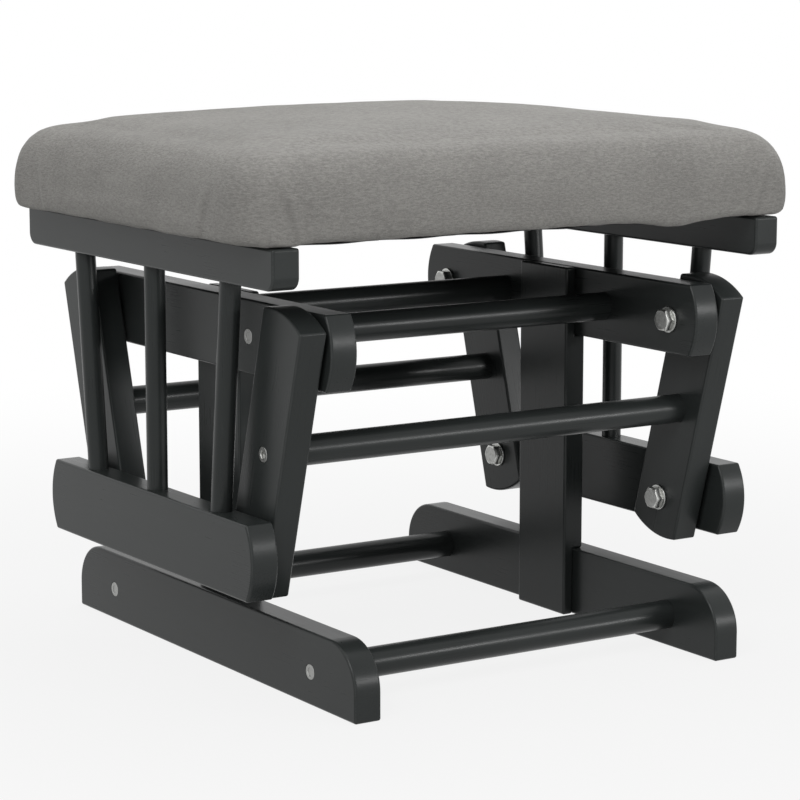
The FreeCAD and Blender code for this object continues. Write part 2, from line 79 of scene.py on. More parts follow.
def colour_value(name, description, default):
    return FloatVectorProperty(
        name=name, description=description, subtype="COLOR", size=3, min=0, max=1, default=default
    )


def length_value(name, description, default):
    return FloatProperty(name=name, description=description, unit="LENGTH", default=default)


def number_value(name, description, default, **limits):
    return FloatProperty(name=name, description=description, default=default, **limits)


class TimberSettings(bpy.types.PropertyGroup):
    paint: colour_value("Paint", "Colour of the satin paint", (0.0282, 0.0321, 0.0314))
    rubbed: colour_value(
        "Rubbed paint", "Colour of the paint where its edges are rubbed", (0.07, 0.075, 0.074)
    )
    roughness: number_value(
        "Roughness", "Roughness of the paint", 0.3, subtype="FACTOR", min=0, max=1
    )
    grain_width: length_value(
        "Grain width", "Width of the wood grain that shows through the paint", 0.0016
    )
    grain_depth: length_value("Grain depth", "Depth of that grain", 0.00003)


class FixingSettings(bpy.types.PropertyGroup):
    zinc: colour_value("Zinc", "Colour of the zinc on screws and bolts", (0.5, 0.505, 0.49))
    bolt_flats: length_value("Bolt flats", "Width of a bolt head across its flats", 0.016)
    bolt_height: length_value("Bolt head height", "Height of a bolt head", 0.0064)
    washer_diameter: length_value("Washer diameter", "Outer diameter of a washer", 0.0205)
    washer_thickness: length_value("Washer thickness", "Thickness of a washer", 0.002)
    screw_head: length_value("Screw head", "Diameter of a connector screw's head", 0.012)
    screw_height: length_value("Screw head height", "Height of a connector screw's head", 0.0026)
    seat_screw_head: length_value(
        "Seat screw head", "Diameter of the screw heads under the cushion rails", 0.009
    )
    staple_crown: length_value("Staple crown", "Width of a staple", 0.01)
    staple_leg: length_value("Staple leg", "Length of a staple's legs", 0.0068)
    staple_wire: length_value("Staple wire", "Thickness of the staple wire", 0.0009)
    seed: IntProperty(
        name="Seed", description="Seed of the small turns that no two fixings share", default=4,
    )


class PaddingSettings(bpy.types.PropertyGroup):
    fabric: colour_value("Fabric", "Colour of the brushed cover", (0.3, 0.292, 0.276))
    lining: colour_value("Lining", "Colour of the lining under the seat", (0.018, 0.018, 0.019))
    width: length_value("Width", "Width of the cushion", COVER_HIGH.x - COVER_LOW.x)
    depth: length_value("Depth", "Depth of the cushion", COVER_HIGH.y - COVER_LOW.y)
    corner: length_value("Corner", "Radius of the corners seen from above", 0.027)
    widest: length_value("Widest", "Height of the widest line above the underside", 0.0165)
    shoulder_rise: length_value(
        "Shoulder rise", "Height of the rounded sides above the widest line", 0.052
    )
    shoulder_inset: length_value(
        "Shoulder inset", "How far the sides lean in at the shoulder", 0.034
    )
    fullness: number_value(
        "Fullness", "How round the shoulder is: 1 makes it an ellipse, and less makes it squarer",
        0.8, min=0.5, max=1,
    )
    crown: length_value("Crown", "Rise of the top above the shoulder", 0.016)
    tuck: length_value("Tuck", "How far the sides turn in at the underside", 0.0047)
    draw: length_value("Draw", "How far the sides pull in between the corners", 0.0026)
    slack: length_value(
        "Slack", "How much smaller the padding starts before it swells", 0.0008
    )
    swell: length_value("Swell", "The most that a point of the cover may move", 0.003)
    pull: number_value(
        "Pull", "Share of an inward move that the padding lets the cover make",
        0.1, subtype="FACTOR", min=0, max=1,
    )
    pressure: number_value("Pressure", "Pressure of the padding inside the cover", 4.0)
    voxel: length_value("Cloth mesh", "Mesh size of the cover while it swells", 0.005)
    fold: length_value("Fold", "Height of the folds beside the corners", 0.0013)


class StageSettings(bpy.types.PropertyGroup):
    floor: colour_value("Floor", "Colour of the floor", (0.48, 0.48, 0.477))
    surround: number_value("Surround", "Strength of the soft light from all around", 0.32)
    key: number_value("Key light", "Power of the soft light at the upper left", 38.0)
    top: number_value("Top light", "Power of the soft light overhead", 43.0)
    front: number_value("Front light", "Power of the low soft light at the front right", 18.5)


# Nodes


def feed(tree, socket, value):
    """Puts a link or a plain value on a socket."""
    value = getattr(value, "socket", value)
    if isinstance(value, bpy.types.NodeSocket):
        tree.links.new(value, socket)
    else:
        socket.default_value = value


def add_node(tree, kind, settings=None, inputs=None):
    """A node with its settings, and then with values or links on its sockets."""
    made = tree.nodes.new(kind)
    for name, value in (settings or {}).items():
        setattr(made, name, value)
    for name, value in (inputs or {}).items():
        feed(tree, made.inputs[name], value)
    return made


class Value:
    """A number in a shader: arithmetic on it adds Math nodes."""

    def __init__(self, shader, socket):
        self.shader = shader
        self.socket = socket

    def __add__(self, other):
        return self.shader.math("ADD", self, other)

    def __sub__(self, other):
        return self.shader.math("SUBTRACT", self, other)

    def __rsub__(self, other):
        return self.shader.math("SUBTRACT", other, self)

    def __mul__(self, other):
        return self.shader.math("MULTIPLY", self, other)

    def __pow__(self, other):
        return self.shader.math("POWER", self, other)

    __radd__ = __add__
    __rmul__ = __mul__


class Shader:
    """A material with one principled shader, and the means to feed it."""

    def __init__(self, name):
        self.material = bpy.data.materials.new(name)
        self.material.use_nodes = True
        self.tree = self.material.node_tree
        self.surface = self.tree.nodes["Principled BSDF"]
        self.place = self.node("ShaderNodeTexCoord").outputs["Object"]

    def node(self, kind, settings=None, inputs=None):
        return add_node(self.tree, kind, settings, inputs)

    def math(self, operation, *values):
        made = self.node("ShaderNodeMath", {"operation": operation}, dict(enumerate(values)))
        return Value(self, made.outputs[0])

    def vector(self, operation, inputs, result="Vector"):
        made = self.node("ShaderNodeVectorMath", {"operation": operation}, inputs)
        return made.outputs[result]

    def stretched(self, along, stretch):
        """The place, drawn out along a direction so that a pattern runs that way."""
        share = Value(self, self.vector("DOT_PRODUCT", {0: self.place, 1: along}, "Value"))
        off = self.vector("SCALE", {0: along, "Scale": share * (1 - 1 / stretch)})
        return self.vector("SUBTRACT", {0: self.place, 1: off})

    def scaled(self, factors):
        return self.vector("MULTIPLY", {0: self.place, 1: factors})

    def noise(self, scale, detail=2.0, place=None, rough=0.5):
        made = self.node("ShaderNodeTexNoise", None, {
            "Vector": place or self.place, "Scale": scale, "Detail": detail, "Roughness": rough,
        })
        return Value(self, made.outputs[0])

    def cells(self, scale, place=None, randomness=1.0):
        made = self.node("ShaderNodeTexVoronoi", None, {
            "Vector": place or self.place, "Scale": scale, "Randomness": randomness,
        })
        return Value(self, made.outputs["Distance"])

    def spread(self, value, low, high):
        """0 below low, 1 above high, and smooth between."""
        made = self.node(
            "ShaderNodeMapRange", {"interpolation_type": "SMOOTHSTEP"},
            {"Value": value, "From Min": low, "From Max": high},
        )
        return Value(self, made.outputs[0])

    def mix(self, factor, first, second):
        """A colour between two colours."""
        first, second = (
            (*c, 1) if isinstance(c, (tuple, list)) and len(c) == 3 else c for c in (first, second)
        )
        made = self.node("ShaderNodeMix", {"data_type": "RGBA"}, {0: factor, 6: first, 7: second})
        return made.outputs[2]

    def bump(self, height, distance, normal=None):
        inputs = {"Height": height, "Distance": distance}
        if normal is not None:
            inputs["Normal"] = normal
        return self.node("ShaderNodeBump", None, inputs).outputs[0]

    def attribute(self, name):
        made = self.node("ShaderNodeAttribute", {"attribute_name": name})
        return Value(self, made.outputs["Fac"])

    def across_x(self):
        """1 where a face looks along X, 0 where it stands along it."""
        normal = self.node("ShaderNodeNewGeometry").outputs["Normal"]
        parts = self.node("ShaderNodeSeparateXYZ", None, {0: normal})
        return Value(self, parts.outputs[0]) ** 2

    def finish(self, colour, roughness, normal, **constants):
        """Feeds the shader and sets what is the same all over the surface."""
        inputs = self.surface.inputs
        feed(self.tree, inputs["Base Color"], colour)
        feed(self.tree, inputs["Roughness"], roughness)
        feed(self.tree, inputs["Normal"], normal)
        for name, value in constants.items():
            inputs[name.replace("_", " ")].default_value = value
        return self.material


def shade(colour, factor):
    """A colour made lighter or darker."""
    return tuple(min(1.0, part * factor) for part in colour)


# Materials


def paint(name, settings, along, has_edges):
    """Satin paint over a wood grain that runs along a stick, rubbed at its edges."""
    s = Shader(name)
    grain = s.noise(1 / settings.grain_width, 3, s.stretched(along, 34), 0.6)
    figure = s.noise(70, 2, s.stretched(along, 9))
    cloud = s.noise(11, 3)
    peel = s.noise(1500, 1)
    tone = cloud * 0.5 + figure * 0.3 + grain * 0.2
    colour = s.mix(
        s.spread(tone, 0.32, 0.68), shade(settings.paint, 0.93), shade(settings.paint, 1.08)
    )
    rubbed = s.spread(s.noise(260, 4, s.stretched(along, 5)), 0.6, 0.78) * 0.1
    if has_edges:
        across = s.across_x()
        edge = s.spread(across * (1 - across) * 4, 0.35, 1.0)
        wear = s.spread(s.noise(55, 4, s.stretched(along, 4), 0.65), 0.38, 0.72)
        rubbed = rubbed + edge * (0.22 + wear * 0.4)
    colour = s.mix(rubbed, colour, tuple(settings.rubbed))
    roughness = settings.roughness + (cloud - 0.5) * 0.14 + (grain - 0.5) * 0.1 - rubbed * 0.08
    normal = s.bump(grain, settings.grain_depth)
    normal = s.bump(peel, 0.000012, normal)
    return s.finish(colour, roughness, normal, Specular_IOR_Level=0.22)


def metal(name, colour, roughness, depth, tarnish=0.25, painted_face_shade=1.0):
    """Plated steel with faint stains and rubbed spots. Its faces across X can get painted shade."""
    s = Shader(name)
    grit = s.noise(2600, 2)
    stain = s.spread(s.noise(420, 4, None, 0.65), 0.42, 0.72)
    scratch = s.spread(s.noise(900, 3, s.scaled((1.0, 0.12, 1.4))), 0.56, 0.66)
    dull = shade((colour[0], colour[1] * 0.97, colour[2] * 0.9), 0.62)
    tint = s.mix(stain * tarnish, tuple(colour), dull)
    tint = s.mix(scratch * 0.2, tint, shade(colour, 1.35))
    # Painted shade: faces that look along X are mixed towards a darker copy of the colour, standing
    # in for shade on the flat faces of the heads.
    if painted_face_shade < 1:
        face = s.spread(s.across_x(), 0.82, 0.97)
        tint = s.mix(face * (0.75 + stain * 0.25), tint, shade(colour, painted_face_shade))
    rough = roughness + (grit - 0.5) * 0.12 + stain * 0.12 - scratch * 0.06
    return s.finish(tint, rough, s.bump(grit * 0.7 + scratch * 0.3, depth), Metallic=1.0)


def bare_timber(name):
    """Raw beech: fine pores along the pin."""
    s = Shader(name)
    pores = s.noise(1400, 3, s.stretched((1, 0, 0), 20), 0.6)
    rings = s.noise(160, 2, s.stretched((1, 0, 0), 8))
    tone = s.spread(pores * 0.5 + rings * 0.5, 0.35, 0.65)
    colour = s.mix(tone, (0.42, 0.27, 0.15), (0.58, 0.4, 0.25))
    return s.finish(colour, 0.6 + (pores - 0.5) * 0.2, s.bump(pores, 0.00008))


def plywood(name):
    """Birch plywood: plain faces, and layers that show at its edges."""
    s = Shader(name)
    layers = s.cells(620, place=s.scaled((0.0, 0.0, 1.0)), randomness=0.15)
    pores = s.noise(900, 3, s.stretched((1, 0, 0), 24), 0.6)
    colour = s.mix(s.spread(pores, 0.35, 0.65), (0.5, 0.36, 0.22), (0.62, 0.47, 0.31))
    colour = s.mix(s.spread(layers, 0.1, 0.45) * 0.35, colour, (0.3, 0.19, 0.1))
    return s.finish(colour, 0.7 + (pores - 0.5) * 0.2, s.bump(pores, 0.0001))


def foam(name):
    """Open-celled upholstery foam."""
    s = Shader(name)
    cells = s.cells(900)
    colour = s.mix(s.spread(cells, 0.1, 0.6), (0.66, 0.62, 0.5), (0.8, 0.77, 0.66))
    return s.finish(colour, 0.9 + (cells - 0.5) * 0.1, s.bump(cells, 0.0005))


def nonwoven(name, colour):
    """Thin bonded lining: tangled fibres pressed together in rows of small points."""
    s = Shader(name)
    fibres = s.noise(1500, 4, s.scaled((1.0, 0.35, 1.0)), 0.7)
    points = s.cells(430, place=s.scaled((1.0, 1.0, 0.0)), randomness=0.0)
    patchy = s.noise(45, 3)
    bond = 1 - s.spread(points, 0.18, 0.32)
    tone = s.spread(fibres * 0.6 + patchy * 0.4, 0.36, 0.66)
    tint = s.mix(tone, shade(colour, 0.7), shade(colour, 1.9))
    tint = s.mix(bond * 0.5, tint, shade(colour, 0.55))
    rough = 0.78 + (fibres - 0.5) * 0.2 - bond * 0.18
    return s.finish(tint, rough, s.bump(fibres * 0.6 + (1 - bond) * 0.4, 0.00015))


def brushed_fabric(name, colour):
    """Brushed microfibre: a short nap that lies in fine level crinkles, with painted shade in the
    folds' valleys and a painted highlight on their lips.
    """
    s = Shader(name)
    crinkle = s.noise(420, 4, s.scaled((0.6, 0.6, 1.9)), 0.68)
    nap = s.noise(1300, 2, s.scaled((0.8, 0.8, 1.5)), 0.6)
    cloud = s.noise(16, 3, s.scaled((1.0, 1.0, 1.4)))
    hand = s.noise(55, 3, s.scaled((0.7, 0.7, 1.5)))
    tone = crinkle * 0.52 + nap * 0.28 + cloud * 0.14 + hand * 0.06
    tint = s.mix(s.spread(tone, 0.36, 0.64), shade(colour, 0.76), shade(colour, 1.2))
    # Painted shade along each fold's valley and a painted highlight along its lip, placed by the fold
    # attributes.
    depth = s.attribute("fold_depth")
    away = s.attribute("fold_away")
    line = (1 - s.spread(s.math("ABSOLUTE", away - 0.002), 0.0, 0.005)) * depth
    lip = (1 - s.spread(s.math("ABSOLUTE", away + 0.0025), 0.0, 0.004)) * depth
    # Painted shade in the valley, then a painted highlight on the lip.
    tint = s.mix(line * 0.14, tint, shade(colour, 0.5))
    tint = s.mix(lip * 0.16, tint, shade(colour, 1.3))
    normal = s.bump(cloud * 0.5 + hand * 0.5, 0.0006)
    normal = s.bump(crinkle, 0.0009, normal)
    normal = s.bump(nap, 0.0002, normal)
    rough = 0.86 + (crinkle - 0.5) * 0.16
    return s.finish(
        tint, rough, normal, Sheen_Weight=0.22, Sheen_Roughness=0.45,
        Sheen_Tint=(0.95, 0.94, 0.92, 1), Specular_IOR_Level=0.25,
    )


def stage_floor(name, colour):
    """Pale floor that keeps the shadow near the ottoman and is plain white further off."""
    s = Shader(name)
    path = s.node("ShaderNodeLightPath")
    seen = s.math(
        "MAXIMUM", s.math("MAXIMUM", path.outputs["Is Camera Ray"], path.outputs["Is Glossy Ray"]),
        path.outputs["Is Transmission Ray"],
    )
    distance = Value(s, s.vector("LENGTH", {0: s.place}, "Value"))
    near_white = 0.86
    white = near_white + s.spread(distance, 0.3, 1.4) * (1 - near_white)
    speck = s.noise(220, 3)
    s.finish(
        s.mix(speck, shade(colour, 0.98), shade(colour, 1.02)), 0.75 + (speck - 0.5) * 0.1,
        s.bump(speck, 0.0001), Specular_IOR_Level=0.0,
    )
    glow = s.node("ShaderNodeEmission", None, {"Color": (1, 1, 1, 1), "Strength": 1.0})
    mixed = s.node(
        "ShaderNodeMixShader", None, {0: seen * white, 1: s.surface.outputs[0], 2: glow.outputs[0]}
    )
    feed(s.tree, s.tree.nodes["Material Output"].inputs["Surface"], mixed.outputs[0])
    return s.material


# Meshes


def add_object(name, mesh):
    made = bpy.data.objects.new(name, mesh)
    bpy.context.scene.collection.objects.link(made)
    return made


def plain_mesh(thing):
    """Takes the result of a piece's modifiers as its own mesh."""
    bpy.context.view_layer.update()
    graph = bpy.context.evaluated_depsgraph_get()
    mesh = bpy.data.meshes.new_from_object(thing.evaluated_get(graph))
    thing.modifiers.clear()
    thing.data = mesh
    return thing


def closed_mesh(name, bm):
    """The mesh of a closed form, with its normals outwards."""
    bmesh.ops.recalc_face_normals(bm, faces=bm.faces)
    mesh = bpy.data.meshes.new(name)
    bm.to_mesh(mesh)
    bm.free()
    return mesh


def skin(name, loops, ring_shaped=False):
    """A mesh over loops of points, closed at both ends or joined into a ring."""
    bm = bmesh.new()
    rows = [[bm.verts.new(point) for point in loop] for loop in loops]
    following = rows[1:] + rows[:1] if ring_shaped else rows[1:]
    for one, two in zip(rows, following):
        for k in range(len(one)):
            m = (k + 1) % len(one)
            bm.faces.new((one[k], one[m], two[m], two[k]))
    if not ring_shaped:
        bm.faces.new(rows[0][::-1])
        bm.faces.new(rows[-1])
    return closed_mesh(name, bm)


def smooth(mesh, degrees=35):
    """Shades a mesh smooth, except over edges sharper than the angle."""
    mesh.polygons.foreach_set("use_smooth", [True] * len(mesh.polygons))
    mesh.set_sharp_from_angle(angle=math.radians(degrees))


def hexagon(flats, turn):
    """How far a hexagon reaches at a turn, with its corners just broken."""
    step = math.radians(60)
    half = flats / 2
    corner_reach = 1.145
    return min(half / math.cos((turn % step) - step / 2), half * corner_reach)


def turned(name, rings, ring_shaped=False, count=72):
    """A piece turned about X. Each ring gives its place along X and its radius at a turn."""
    loops = []
    for ring in rings:
        loop = []
        for k in range(count):
            turn = 2 * math.pi * k / count
            x, radius = ring(turn)
            loop.append((x, radius * math.cos(turn), radius * math.sin(turn)))
        loops.append(loop)
    mesh = skin(name, loops, ring_shaped)
    smooth(mesh)
    return mesh


def at(x, radius):
    """A round ring of a turned piece."""
    return lambda turn: (x, radius)


def bolt_head():
    """Hex head of unit size with a turned chamfer, on a short shank. Its seat is at X 0."""
    top = 0.5 * 0.93
    flats_per_height = 2.5
    slope = math.tan(math.radians(28)) * flats_per_height

    def chamfered(inset, drop):
        def ring(turn):
            reach = hexagon(1.0, turn) - inset
            return 1.0 - drop - max(0.0, reach - top) * slope, reach
        return ring

    rings = [at(-0.6, 0.25), at(-0.6, 0.31), at(0.0, 0.31)]
    rings.append(lambda turn: (0.0, hexagon(1.0, turn) * 0.985))
    rings += [lambda t: (0.03, hexagon(1.0, t)), chamfered(0.0, 0.03), chamfered(0.012, 0.0)]
    rings += [at(1.0, top * 0.985), at(0.985, top * 0.9), at(0.97, 0.3), at(0.96, 0.12)]
    return turned("bolt_head", rings)


def washer():
    """Punched washer of unit size: one rim is rolled over and the other is sharp."""
    rings = [at(0.0, 0.262), at(0.0, 0.49), at(0.12, 0.5), at(0.8, 0.5), at(0.95, 0.494)]
    rings += [at(1.0, 0.482), at(1.0, 0.275), at(0.9, 0.262)]
    return turned("washer", rings, True)


def socket_head(flats, floor=0.2):
    """Flat round head of unit size on a short shank, with a hexagon socket down to its floor."""

    def hex_ring(x, scale=1.0):
        return lambda turn: (x, hexagon(flats * scale, turn))

    rings = [at(-1.2, 0.24), at(-1.2, 0.25), at(0.0, 0.25), at(0.0, 0.485), at(0.1, 0.5)]
    rings += [at(0.78, 0.5), at(0.92, 0.492), at(1.0, 0.465), at(1.0, flats * 0.62)]
    rings += [hex_ring(0.98, 1.05), hex_ring(0.93), hex_ring(floor), at(floor - 0.04, flats * 0.3)]
    return turned("socket_head", rings)


def staple():
    """Staple of unit size: a crown along X and legs up along Z."""
    wire_half, wire_flatness, around = 0.045, 1.6, 8
    path = [(-0.5, 1.0), (-0.5, 0.16), (-0.482, 0.06), (-0.44, 0.0)]
    path += [(-x, z) for x, z in reversed(path)]
    loops = []
    for k, (x, z) in enumerate(path):
        before, after = path[max(k - 1, 0)], path[min(k + 1, len(path) - 1)]
        run = Vector((after[0] - before[0], 0, (after[1] - before[1]))).normalized()
        side = Vector((-run.z, 0, run.x))
        loop = []
        for n in range(around):
            turn = 2 * math.pi / around * (n + 0.5)
            off = side * math.cos(turn) * wire_half + Vector((0, 1, 0)) * math.sin(turn) * 0.5
            off.z *= wire_flatness
            loop.append(Vector((x, 0, z)) + off)
        loops.append(loop)
    mesh = skin("staple", loops)
    smooth(mesh, 50)
    return mesh


# Repeated fixings


def fixing_tree():
    """Sets one item on each marked place, turned as the place says and a little at random."""
    tree = bpy.data.node_groups.new("fixings", "GeometryNodeTree")
    sockets = (
        ("Places", "NodeSocketGeometry"), ("Item", "NodeSocketObject"),
        ("Size", "NodeSocketVector"), ("Spin", "NodeSocketFloat"), ("Spin axis", "NodeSocketVector"),
        ("Seed", "NodeSocketInt"), ("Finish", "NodeSocketMaterial"),
    )
    for name, kind in sockets:
        tree.interface.new_socket(name, in_out="INPUT", socket_type=kind)
    tree.interface.new_socket("Fixings", in_out="OUTPUT", socket_type="NodeSocketGeometry")

    def node(kind, settings=None, inputs=None):
        return add_node(tree, kind, settings, inputs)

    given = node("NodeGroupInput").outputs
    item = node("GeometryNodeObjectInfo", None, {"Object": given["Item"]})
    turned_by = node(
        "GeometryNodeInputNamedAttribute", {"data_type": "FLOAT_VECTOR"}, {"Name": "turned_by"}
    )
    placed = node("FunctionNodeEulerToRotation", None, {0: turned_by.outputs[0]})
    least = node("ShaderNodeMath", {"operation": "MULTIPLY"}, {0: given["Spin"], 1: -1.0})
    angle = node(
        "FunctionNodeRandomValue", {"data_type": "FLOAT"},
        {2: least.outputs[0], 3: given["Spin"], "Seed": given["Seed"]},
    )
    spin = node(
        "FunctionNodeAxisAngleToRotation", None,
        {"Axis": given["Spin axis"], "Angle": angle.outputs[1]},
    )
    rotation = node(
        "FunctionNodeRotateRotation", {"rotation_space": "LOCAL"},
        {0: placed.outputs[0], 1: spin.outputs[0]},
    )
    instances = node("GeometryNodeInstanceOnPoints", None, {
        "Points": given["Places"], "Instance": item.outputs["Geometry"],
        "Rotation": rotation.outputs[0], "Scale": given["Size"],
    })
    real = node("GeometryNodeRealizeInstances", None, {0: instances.outputs[0]})
    dressed = node(
        "GeometryNodeSetMaterial", None, {"Geometry": real.outputs[0], "Material": given["Finish"]}
    )
    node("NodeGroupOutput", None, {0: dressed.outputs[0]})
    return tree


def repeat(name, item, places, size, finish, spin=0.0, spin_axis=(1, 0, 0), seed=1):
    """One mesh that holds an item at each place. A place is a point and Euler angles."""
    mesh = bpy.data.meshes.new(name)
    mesh.from_pydata([point for point, _ in places], [], [])
    turns = mesh.attributes.new("turned_by", "FLOAT_VECTOR", "POINT")
    turns.data.foreach_set("vector", [part for _, turn in places for part in turn])
    made = add_object(name, mesh)
    sample = add_object(name + "_item", item)
    tree = bpy.data.node_groups.get("fixings") or fixing_tree()
    modifier = made.modifiers.new("fixings", "NODES")
    modifier.node_group = tree
    values = {
        "Item": sample, "Size": size, "Spin": spin, "Spin axis": spin_axis, "Seed": seed,
        "Finish": finish,
    }
    for socket in tree.interface.items_tree:
        if socket.in_out == "INPUT" and socket.name in values:
            modifier[socket.identifier] = values[socket.name]
    plain_mesh(made)
    bpy.data.objects.remove(sample)
    left = made.data.attributes.get("turned_by")
    if left:
        made.data.attributes.remove(left)
    if not made.data.polygons:
        raise RuntimeError(f"{name} came out empty")
    return made


def facing(side):
    """The turn of an item that points outwards along X on that side."""
    return (0.0, 0.0, 0.0 if side > 0 else math.pi)


def places_beside(x, y, z, ends, outwards=True):
    """Places on both sides at the front (-1) and rear (1) ends, facing outwards or inwards."""
    return [
        ((side * x, end * y, z), facing(side if outwards else -side))
        for side in (-1, 1) for end in ends
    ]


# Padding

# How far inside the cushion rails the cover and the lining begin to rest on them.
RAIL_LAP = 0.004
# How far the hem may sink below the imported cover, which is also how near it comes to a rail,
# and how far it may hang where nothing carries it.
HEM_GIVE = 0.0002
FREE_HANG = 0.02
# While the cover swells, its hem is held up to this height. So is this share of its moves at
# the corners, which fades out between two distances inside the cover's box.
HEM_HEIGHT = 0.003
CORNER_HOLD = 0.9
CORNER_REACH = (-0.15, -0.04)
SWELL_FRAMES = 20
# Folds beside each corner, on the side faces and on the front and back faces: how far along
# the face from the middle, at the fold's top and at the hem.
SIDE_FOLD = (0.1405, 0.1255)
END_FOLD = (0.2175, 0.2035)
FOLD_TOP = 0.392
# Where the lip and the valley of a fold lie across it, and their widths.
LIP = (-0.0036, 0.0044)
VALLEY = (0.0042, 0.0065)
# The soft spot of the hem at the front on the right: its place, its width and its drop.
SPOT_X = 0.132
SPOT_WIDTH = 0.028
SPOT_DROP = 0.005
# The lining's staples, and the puckers between those of its front and rear edges.
STAPLE_MARGIN = 0.006
STAPLE_RAIL_GAP = 0.00145
WIDTH_STAPLES = 7
DEPTH_STAPLES = 5
PUCKER_PITCH = 0.0664


def fade(value, low, high):
    """0 below low, 1 above high, and smooth between."""
    share = min(1.0, max(0.0, (value - low) / (high - low)))
    return share * share * (3 - 2 * share)


def drawn_outline(half_x, half_y, corner, draw, z, side_count=16, corner_count=8):
    """Points of a rectangle with round corners and sides drawn in at their middles."""
    points = []
    for turn in range(4):
        out, along = (half_x, half_y) if turn % 2 == 0 else (half_y, half_x)
        angle = math.pi / 2 * turn
        local = []
        for k in range(side_count):
            t = 2 * k / side_count - 1
            local.append((out - draw * (1 - t * t), t * (along - corner)))
        for k in range(corner_count):
            a = math.pi / 2 * k / corner_count
            local.append((out - corner + corner * math.cos(a), along - corner + corner * math.sin(a)))
        for x, y in local:
            points.append((
                x * math.cos(angle) - y * math.sin(angle),
                x * math.sin(angle) + y * math.cos(angle), z,
            ))
    return points


def padding_form(pad, inset):
    """The crowned cushion as a closed mesh, smaller all round by an inset."""
    bottom = COVER_LOW.z
    widest = bottom + pad.widest
    half_x, half_y = pad.width / 2 - inset, pad.depth / 2 - inset
    rise = pad.shoulder_rise - inset
    outlines = []
    for degrees in (-90, -70, -50, -25, 0, 12, 24, 36, 48, 60, 72, 84):
        turn = math.radians(degrees)
        if degrees < 0:
            pull = pad.tuck * (1 - math.cos(turn) ** 0.7)
            z = widest - pad.widest * math.sin(-turn) ** 0.7
        else:
            pull = pad.shoulder_inset * (1 - math.cos(turn) ** pad.fullness)
            z = widest + rise * math.sin(turn) ** pad.fullness
        draw = pad.draw * math.cos(turn)
        outlines.append(drawn_outline(half_x - pull, half_y - pull, pad.corner, draw, z))
    edge_share = pad.corner / (half_y - pull)
    for share in (0.93, 0.85, 0.75, 0.64, 0.52, 0.4, 0.28, 0.16, 0.06):
        up = 1 - share ** 2
        corner = (half_y - pull) * share * (edge_share + (0.9 - edge_share) * up)
        outlines.append(drawn_outline(
            (half_x - pull) * share, (half_y - pull) * share, corner, draw * share,
            z + pad.crown * up,
        ))
    return skin("cushion_form", outlines)


def even_mesh(thing, size):
    """Remeshes a closed piece in even squares."""
    remesh = thing.modifiers.new("even", "REMESH")
    remesh.mode = "VOXEL"
    remesh.voxel_size = size
    return plain_mesh(thing)


def by_corner(place):
    """1 at the corners seen from above, 0 away from them."""
    into = min(abs(place.x) - COVER_HIGH.x, abs(place.y) - COVER_HIGH.y)
    return fade(into, *CORNER_REACH)


def swollen(thing, pad):
    """Lets the padding press the cover out, held at its hem, and caps how far it moves."""
    rest = [vertex.co.copy() for vertex in thing.data.vertices]
    outwards = [vertex.normal.copy() for vertex in thing.data.vertices]
    held = thing.vertex_groups.new(name="hem")
    hem_top = COVER_LOW.z + pad.slack + HEM_HEIGHT
    held.add([k for k, place in enumerate(rest) if place.z < hem_top], 1.0, "REPLACE")
    cloth = thing.modifiers.new("cloth", "CLOTH")
    cloth.settings.vertex_group_mass = "hem"
    cloth.settings.use_pressure = True
    cloth.settings.uniform_pressure_force = pad.pressure
    cloth.settings.effector_weights.gravity = 0
    cloth.settings.quality = 6
    cloth.point_cache.frame_start = 1
    cloth.point_cache.frame_end = SWELL_FRAMES
    scene = bpy.context.scene
    for number in range(1, SWELL_FRAMES + 1):
        scene.frame_set(number)
    plain_mesh(thing)
    scene.frame_set(1)
    for vertex, place, outward in zip(thing.data.vertices, rest, outwards):
        step = vertex.co - place
        step -= outward * min(0.0, step.dot(outward)) * (1 - pad.pull)
        step *= 1 - CORNER_HOLD * by_corner(place)
        if step.length > pad.swell:
            step *= pad.swell / step.length
        vertex.co = place + step
    thing.vertex_groups.clear()


def fit_to_cover(mesh):
    """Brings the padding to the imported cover's size."""
    lows = [min(v.co[axis] for v in mesh.vertices) for axis in range(3)]
    highs = [max(v.co[axis] for v in mesh.vertices) for axis in range(3)]
    for vertex in mesh.vertices:
        for axis in range(3):
            share = (vertex.co[axis] - lows[axis]) / (highs[axis] - lows[axis])
            vertex.co[axis] = COVER_LOW[axis] + share * (COVER_HIGH[axis] - COVER_LOW[axis])


def fold_at(place):
    """Signed distance from the nearest corner fold, towards the corner, and its strength."""
    hem = COVER_LOW.z
    down = (FOLD_TOP - place.z) / (FOLD_TOP - hem)
    strength = fade(down, 0.02, 0.5)
    on_side = abs(place.x) / (COVER_HIGH.x - 0.03) > abs(place.y) / (COVER_HIGH.y - 0.03)
    along, fold = (place.y, SIDE_FOLD) if on_side else (place.x, END_FOLD)
    wander = 0.0035 * noise.noise(Vector((place.x * 3, place.y * 3, place.z * 22)))
    line = fold[0] + (fold[1] - fold[0]) * down + wander
    lean = math.hypot(fold[0] - fold[1], FOLD_TOP - hem) / (FOLD_TOP - hem)
    return (abs(along) - line) / lean, strength


def fold_height(away):
    """Height of a fold across its line: a lip on one side, a tucked valley by the corner."""
    lip = math.exp(-((away - LIP[0]) / LIP[1]) ** 2)
    valley = math.exp(-((away - VALLEY[0]) / VALLEY[1]) ** 2)
    return lip - 0.6 * valley


